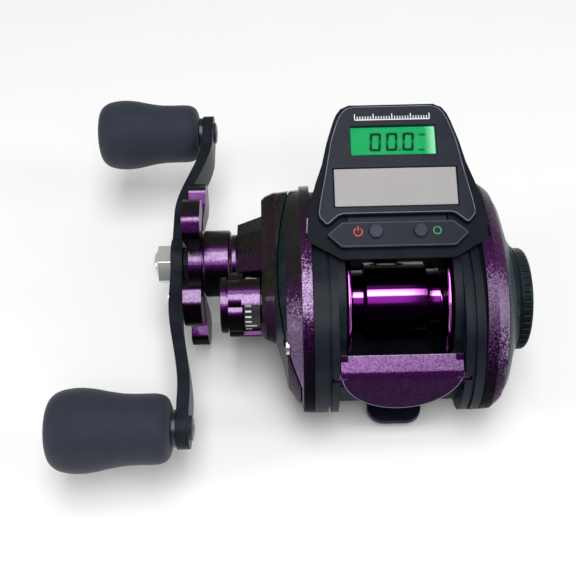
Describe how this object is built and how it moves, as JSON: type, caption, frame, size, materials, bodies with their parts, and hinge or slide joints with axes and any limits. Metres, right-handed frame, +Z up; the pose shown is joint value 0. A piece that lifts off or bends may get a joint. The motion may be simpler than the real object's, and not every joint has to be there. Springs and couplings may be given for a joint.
{
  "type": "baitcasting fishing reel",
  "caption": "Low-profile baitcasting fishing reel with a tilted solar line-counter display, star drag and double-knob crank handle.",
  "frame": {"origin": "middle of the underside of the reel foot", "axes": "+X along the spool axis away from the handle, +Y forward to the rod tip, +Z up from the reel seat"},
  "size_m": [0.1242, 0.1244, 0.0622],
  "materials": {
    "frame_black": "matte black paint",
    "shift_paint": "purple to olive colour-shift flake paint",
    "thumb_paint": "sparkling purple paint",
    "teal_paint": "dark teal grey satin paint",
    "display_black": "black plastic",
    "panel_gloss": "glossy blue black",
    "window": "clear window",
    "lcd": "green backlight",
    "solar": "solar cell under clear resin",
    "board": "green circuit board",
    "button_grey": "dark grey rubber",
    "steel": "machined steel",
    "chrome": "polished",
    "brass": "machined brass",
    "magnet": "plated magnet",
    "ceramic": "polished dark ceramic",
    "spool_purple": "mirror purple anodised",
    "knob_purple": "purple anodised",
    "ring_black": "black",
    "arm_black": "satin black paint",
    "grip": "soft matte foam"
  },
  "bodies": {
    "reel_body": {"frame": "frame_black", "reel_foot": "frame_black", "foot_screw_front": "steel", "foot_screw_rear": "steel", "handle_side_cover": "shift_paint", "gear_box_cover": "shift_paint", "cover_screw": "chrome", "palm_side_cover": "shift_paint", "palm_side_cap": "teal_paint", "display_housing": "display_black", "display_panel": "panel_gloss", "lcd_window": "window", "lcd_screen": "lcd", "solar_cell": "solar", "button_plate": "panel_gloss", "circuit_board": "board", "rechargeable_cell": "steel", "spool_bearing_left": "steel", "spool_bearing_right": "steel", "spool_bearing_end": "steel", "drive_shaft_bearing": "steel", "one_way_bearing": "steel", "worm_bushing_left": "brass", "worm_bushing_right": "brass", "guide_bar": "steel", "cast_control_ring": "ring_black"},
    "handle": {"drive_shaft": "steel", "drive_gear": "brass", "worm_drive_gear": "brass", "drag_washer_carbon": "ring_black", "drag_washer_metal": "steel", "drag_pressure_plate": "steel", "one_way_sleeve": "steel", "drag_spacer": "knob_purple", "thrust_spacer": "arm_black", "handle_arm": "arm_black", "handle_nut": "chrome", "nut_retainer_screw": "chrome", "front_knob_shaft": "steel", "rear_knob_shaft": "steel"},
    "star_drag": {"star_drag": "knob_purple"},
    "front_knob": {"front_knob": "grip", "front_knob_cap": "teal_paint"},
    "rear_knob": {"rear_knob": "grip", "rear_knob_cap": "teal_paint"},
    "spool": {"spool": "spool_purple", "spool_shaft": "steel", "counter_magnet_ring": "magnet"},
    "clutch_yoke": {"clutch_yoke": "brass"},
    "pinion": {"pinion_gear": "brass"},
    "thumb_bar": {"thumb_bar": "thumb_paint"},
    "worm": {"worm_shaft": "steel", "worm_gear": "brass"},
    "line_guide": {"line_guide": "frame_black", "line_guide_ring": "ceramic"},
    "brake_dial": {"brake_dial": "teal_paint"},
    "brake_magnets": {"brake_magnet_ring": "magnet"},
    "cast_control": {"cast_control_knob": "knob_purple"},
    "power_button": {"power_button": "button_grey"},
    "set_button": {"set_button": "button_grey"}
  },
  "joints": [
    {"name": "handle_spin", "type": "hinge", "parent": "reel_body", "child": "handle", "pos_m": [-0.04, 0.011, 0.0209], "axis": [1, 0, 0], "continuous": true},
    {"name": "star_drag_turn", "type": "hinge", "parent": "handle", "child": "star_drag", "pos_m": [-0.05, 0.011, 0.0209], "axis": [1, 0, 0], "range_deg": [-180, 180]},
    {"name": "front_knob_spin", "type": "hinge", "parent": "handle", "child": "front_knob", "pos_m": [-0.07, 0.06253, 0.02505], "axis": [1, 0, 0], "continuous": true},
    {"name": "rear_knob_spin", "type": "hinge", "parent": "handle", "child": "rear_knob", "pos_m": [-0.07, -0.04053, 0.01675], "axis": [1, 0, 0], "continuous": true},
    {"name": "spool_spin", "type": "hinge", "parent": "reel_body", "child": "spool", "pos_m": [0, -0.0063, 0.0235], "axis": [1, 0, 0], "continuous": true},
    {"name": "thumb_bar_press", "type": "slide", "parent": "reel_body", "child": "thumb_bar", "axis": [0, 0, -1], "range_m": [0, 0.004]},
    {"name": "clutch_yoke_slide", "type": "slide", "parent": "reel_body", "child": "clutch_yoke", "axis": [-1, 0, 0], "range_m": [0, 0.0014]},
    {"name": "pinion_spin", "type": "hinge", "parent": "clutch_yoke", "child": "pinion", "pos_m": [-0.022, -0.0063, 0.0235], "axis": [1, 0, 0], "continuous": true},
    {"name": "worm_spin", "type": "hinge", "parent": "reel_body", "child": "worm", "pos_m": [0, 0.0201, 0.0165], "axis": [1, 0, 0], "continuous": true},
    {"name": "line_guide_slide", "type": "slide", "parent": "reel_body", "child": "line_guide", "axis": [1, 0, 0], "range_m": [-0.0095, 0.0095]},
    {"name": "brake_dial_turn", "type": "hinge", "parent": "reel_body", "child": "brake_dial", "pos_m": [0.035, -0.0063, 0.0235], "axis": [1, 0, 0], "range_deg": [0, 270]},
    {"name": "brake_magnet_slide", "type": "slide", "parent": "reel_body", "child": "brake_magnets", "axis": [-1, 0, 0], "range_m": [0, 0.001]},
    {"name": "cast_control_turn", "type": "hinge", "parent": "reel_body", "child": "cast_control", "pos_m": [-0.042, -0.0063, 0.0235], "axis": [1, 0, 0], "range_deg": [-180, 180]},
    {"name": "power_button_press", "type": "slide", "parent": "reel_body", "child": "power_button", "axis": [0, 0.4099, -0.9121], "range_m": [0, 0.0006], "stiffness_N_per_m": 300, "springref_m": -0.0005},
    {"name": "set_button_press", "type": "slide", "parent": "reel_body", "child": "set_button", "axis": [0, 0.4099, -0.9121], "range_m": [0, 0.0006], "stiffness_N_per_m": 300, "springref_m": -0.0005}
  ],
  "couplings": [
    {"joint": "spool_spin", "follows": "handle_spin", "ratio": -5},
    {"joint": "pinion_spin", "follows": "handle_spin", "ratio": -5},
    {"joint": "worm_spin", "follows": "handle_spin", "ratio": -1.5},
    {"joint": "clutch_yoke_slide", "follows": "thumb_bar_press", "ratio": 0.35},
    {"joint": "brake_magnet_slide", "follows": "brake_dial_turn", "m_per_rad": 0.0002}
  ]
}
